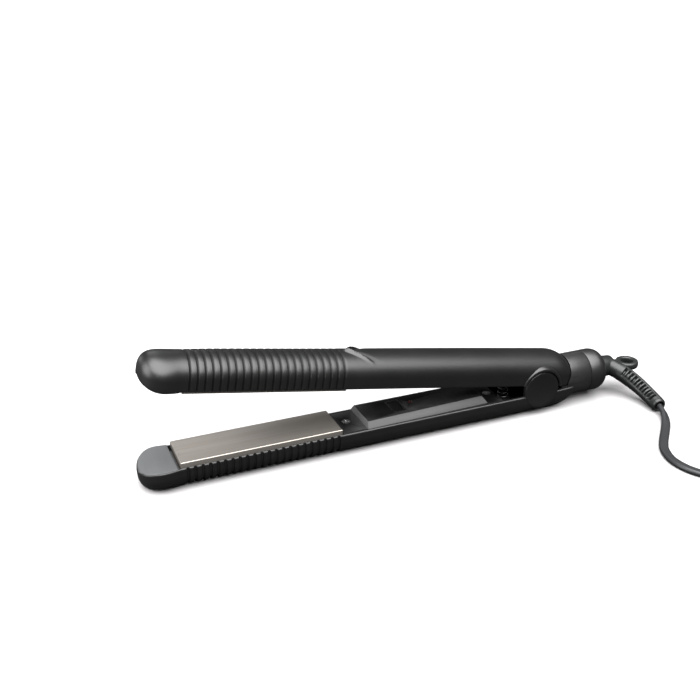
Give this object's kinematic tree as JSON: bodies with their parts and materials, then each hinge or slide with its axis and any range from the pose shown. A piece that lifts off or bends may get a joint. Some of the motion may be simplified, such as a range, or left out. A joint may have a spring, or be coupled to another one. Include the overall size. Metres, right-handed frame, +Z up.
{
  "type": "flat iron",
  "caption": "Slim hair straightener with two hinged arms, floating heated plates, ribbed tips, a rocker switch and a swivelling cord.",
  "frame": {"origin": "middle of the flat on the lower arm's back, which the iron lies on", "axes": "+X from the tip to the tail along the lower arm, +Z up from the surface it lies on, +Y across the arms"},
  "size_m": [0.3386, 0.2182, 0.075],
  "materials": {
    "arm_shell": "satin soft-touch coat",
    "tail_black": "satin",
    "tip_grey": "matte",
    "inner_cover": "matte",
    "plate_metal": "satin coating, bronze tone",
    "ceramic": "matte ceramic",
    "carrier_resin": "matte heat-proof resin",
    "silicone": "matte",
    "screw_steel": "satin",
    "spring_steel": "satin",
    "contact_brass": "satin",
    "lead_wire": "matte",
    "switch_black": "semi-gloss",
    "red_lens": "clear red",
    "board_green": "solder mask",
    "boot_rubber": "semi-gloss",
    "cord_jacket": "semi-gloss",
    "tie_black": "matte",
    "plug_black": "matte"
  },
  "bodies": {
    "lower_arm": {"lower_shell": "arm_shell", "lower_tip_cap": "tip_grey", "lower_cover": "inner_cover", "lower_cover_screws": "screw_steel", "lower_cushions": "silicone", "lower_leads": "lead_wire", "switch_frame": "switch_black", "indicator_lens": "red_lens", "circuit_board": "board_green", "board_components": "tail_black", "hinge_pin": "screw_steel", "opening_spring": "spring_steel", "tail_collar": "tail_black", "tail_cap": "tail_black", "contact_block": "carrier_resin", "cord_lead": "cord_jacket", "cord_coil": "cord_jacket", "cord_tail": "cord_jacket", "coil_tie": "tie_black", "plug_relief": "plug_black", "plug_body": "plug_black", "plug_blades": "contact_brass"},
    "lower_plate_unit": {"lower_plate": "plate_metal", "lower_heater": "ceramic", "lower_carrier": "carrier_resin", "lower_thermal_fuse": "screw_steel"},
    "rocker": {"rocker_switch": "switch_black"},
    "upper_arm": {"upper_shell": "arm_shell", "upper_tip_cap": "tip_grey", "upper_cover": "inner_cover", "upper_cover_screws": "screw_steel", "upper_cushions": "silicone", "upper_leads": "lead_wire", "hinge_bushes": "contact_brass"},
    "upper_plate_unit": {"upper_plate": "plate_metal", "upper_heater": "ceramic", "upper_carrier": "carrier_resin", "upper_thermal_fuse": "screw_steel"},
    "swivel": {"slip_rings": "contact_brass", "swivel_neck": "boot_rubber", "hang_loop": "boot_rubber", "cord_boot": "boot_rubber"}
  },
  "joints": [
    {"name": "arm_hinge", "type": "hinge", "parent": "lower_arm", "child": "upper_arm", "pos_m": [0.096, 0, 0.0161], "axis": [0, -1, 0], "range_deg": [0, 10.3], "stiffness_Nm_per_rad": 0.55, "springref_deg": -20.63, "deforming": ["opening_spring"]},
    {"name": "lower_plate_float", "type": "slide", "parent": "lower_arm", "child": "lower_plate_unit", "axis": [0, 0, -1], "range_m": [0, 0.0006], "stiffness_N_per_m": 1500, "springref_m": -0.0005, "deforming": ["lower_cushions"]},
    {"name": "upper_plate_float", "type": "slide", "parent": "upper_arm", "child": "upper_plate_unit", "axis": [0.1762, 0, 0.9843], "range_m": [0, 0.0006], "stiffness_N_per_m": 1500, "springref_m": -0.0005, "deforming": ["upper_cushions"]},
    {"name": "switch_tilt", "type": "hinge", "parent": "lower_arm", "child": "rocker", "pos_m": [0.0075, 0, 0.01495], "axis": [-1, 0, 0], "range_deg": [0, 16]},
    {"name": "cord_swivel", "type": "hinge", "parent": "lower_arm", "child": "swivel", "pos_m": [0.14, 0, 0.0161], "axis": [1, 0, 0], "continuous": true, "deforming": ["cord_lead"]}
  ]
}
